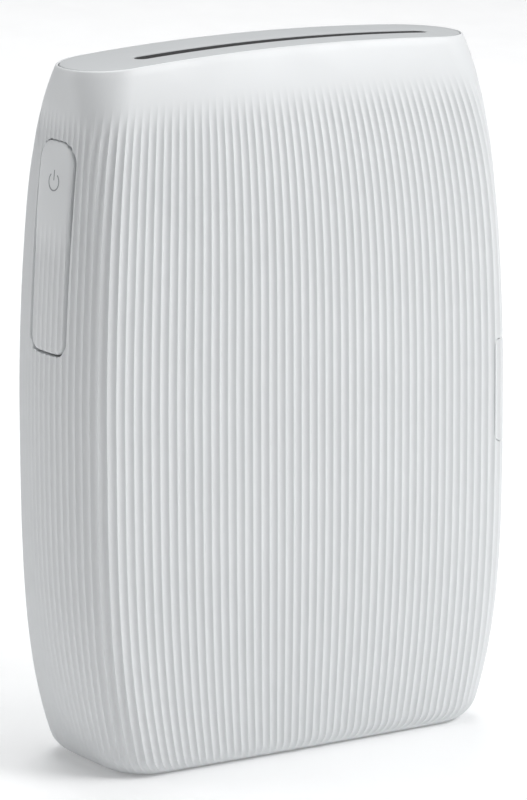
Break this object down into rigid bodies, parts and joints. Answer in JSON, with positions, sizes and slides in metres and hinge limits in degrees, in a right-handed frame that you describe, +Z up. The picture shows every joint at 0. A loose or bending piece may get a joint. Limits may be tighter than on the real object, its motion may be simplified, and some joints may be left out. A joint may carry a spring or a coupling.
{
  "type": "compact photo printer",
  "caption": "Upright pocket photo printer: ribbed barrel case, top print slot, hinged rear film door with latch, side power key, hinged port cover, roller and gear drive.",
  "frame": {"origin": "middle of the flat base that the printer stands on", "axes": "+X to the printer's right seen from the front, +Y to the back where the film door is, +Z up"},
  "size_m": [0.0902, 0.035, 0.125],
  "materials": {
    "shell_white": "satin moulded plastic, cool white",
    "button_white": "satin moulded plastic",
    "cap_grey": "fine satin plastic, light cool grey",
    "slot_felt": "short dense felt",
    "black_plastic": "fine grained moulded plastic",
    "steel": "bright rolled steel",
    "pinion_brass": "machined brass",
    "gear_nylon": "natural nylon",
    "board_green": "solder mask",
    "cell_wrap": "wrapped cell",
    "rod_lens": "ground rod lens",
    "flex_amber": "polyimide film"
  },
  "bodies": {
    "case": {"front_shell": "shell_white", "rear_shell": "shell_white", "top_cap": "cap_grey", "slot_seals": "slot_felt", "chassis": "black_plastic", "gear_plate": "steel", "gear_axles": "steel", "button_bracket": "black_plastic", "switch_board": "board_green", "power_switch": "black_plastic", "main_board": "board_green", "board_chips": "black_plastic", "shield_can": "steel", "battery": "cell_wrap", "exposure_head": "black_plastic", "head_lens": "rod_lens", "head_flex": "flex_amber", "port_bezel": "black_plastic", "usb_shell": "steel", "usb_tongue": "black_plastic", "reset_switch": "black_plastic", "motor": "steel", "roller_bushes": "pinion_brass", "encoder_sensor": "black_plastic", "door_pins": "steel", "button_pin": "steel", "port_pin": "steel", "screws": "steel", "pick_spring": "steel"},
    "rear_door": {"film_door": "shell_white", "door_liner": "black_plastic", "pack_springs": "steel", "latch_spring": "steel"},
    "latch": {"latch_slider": "cap_grey"},
    "power_key": {"power_button": "button_white"},
    "plunger": {"switch_plunger": "button_white"},
    "port_flap": {"port_cover": "shell_white"},
    "reset_key": {"reset_button": "button_white"},
    "front_roller_set": {"front_roller": "steel", "front_roller_gear": "gear_nylon", "encoder_wheel": "black_plastic"},
    "rear_roller_set": {"rear_roller": "steel", "rear_roller_gear": "gear_nylon"},
    "idler": {"idler_gear": "gear_nylon"},
    "second_step": {"second_gear": "gear_nylon"},
    "first_step": {"first_gear": "gear_nylon"},
    "pick_wheel": {"pick_gear": "gear_nylon"},
    "motor_shaft": {"motor_pinion": "pinion_brass"},
    "picker": {"pick_slide": "gear_nylon"}
  },
  "joints": [
    {"name": "front_roller_spin", "type": "hinge", "parent": "case", "child": "front_roller_set", "pos_m": [0, -0.0065, 0.111], "axis": [1, 0, 0], "continuous": true},
    {"name": "rear_roller_spin", "type": "hinge", "parent": "case", "child": "rear_roller_set", "pos_m": [0, 0.0015, 0.111], "axis": [1, 0, 0], "continuous": true},
    {"name": "idler_spin", "type": "hinge", "parent": "case", "child": "idler", "pos_m": [0, -0.0065, 0.102], "axis": [1, 0, 0], "continuous": true},
    {"name": "second_gear_spin", "type": "hinge", "parent": "case", "child": "second_step", "pos_m": [0, -0.0034, 0.09463], "axis": [1, 0, 0], "continuous": true},
    {"name": "first_gear_spin", "type": "hinge", "parent": "case", "child": "first_step", "pos_m": [0, -0.0058, 0.08492], "axis": [1, 0, 0], "continuous": true},
    {"name": "pick_gear_spin", "type": "hinge", "parent": "case", "child": "pick_wheel", "pos_m": [0, 0.0003, 0.07625], "axis": [1, 0, 0], "continuous": true},
    {"name": "motor_spin", "type": "hinge", "parent": "case", "child": "motor_shaft", "pos_m": [0, -0.0095, 0.07805], "axis": [1, 0, 0], "continuous": true},
    {"name": "film_door_hinge", "type": "hinge", "parent": "case", "child": "rear_door", "pos_m": [0, 0.0122, 0.0083], "axis": [-1, 0, 0], "range_deg": [0, 90]},
    {"name": "latch_slide", "type": "slide", "parent": "rear_door", "child": "latch", "axis": [0, 0, -1], "range_m": [0, 0.0025], "stiffness_N_per_m": 300, "deforming": ["latch_spring"]},
    {"name": "power_press", "type": "hinge", "parent": "case", "child": "power_key", "pos_m": [-0.0402, -0.0006, 0.0776], "axis": [0, 1, 0], "range_deg": [0, 1.1], "stiffness_Nm_per_rad": 1},
    {"name": "plunger_press", "type": "slide", "parent": "case", "child": "plunger", "axis": [1, 0, 0], "range_m": [0, 0.0006]},
    {"name": "port_cover_hinge", "type": "hinge", "parent": "case", "child": "port_flap", "pos_m": [0.0439, 0.0039, 0.0602], "axis": [0, 0, 1], "range_deg": [0, 95]},
    {"name": "reset_press", "type": "slide", "parent": "case", "child": "reset_key", "axis": [-1, 0, 0], "range_m": [0, 0.0004], "stiffness_N_per_m": 1000},
    {"name": "pick_lift", "type": "slide", "parent": "case", "child": "picker", "axis": [0, 0, 1], "range_m": [0, 0.0045], "stiffness_N_per_m": 80, "deforming": ["pick_spring"]}
  ],
  "couplings": [
    {"joint": "rear_roller_spin", "follows": "front_roller_spin", "ratio": -1},
    {"joint": "idler_spin", "follows": "front_roller_spin", "ratio": -0.8},
    {"joint": "second_gear_spin", "follows": "front_roller_spin", "ratio": 1.3333},
    {"joint": "first_gear_spin", "follows": "front_roller_spin", "ratio": -5.3333},
    {"joint": "pick_gear_spin", "follows": "front_roller_spin", "ratio": 6.4444},
    {"joint": "motor_spin", "follows": "front_roller_spin", "ratio": 15.467},
    {"joint": "plunger_press", "follows": "power_press", "m_per_rad": 0.0264}
  ]
}
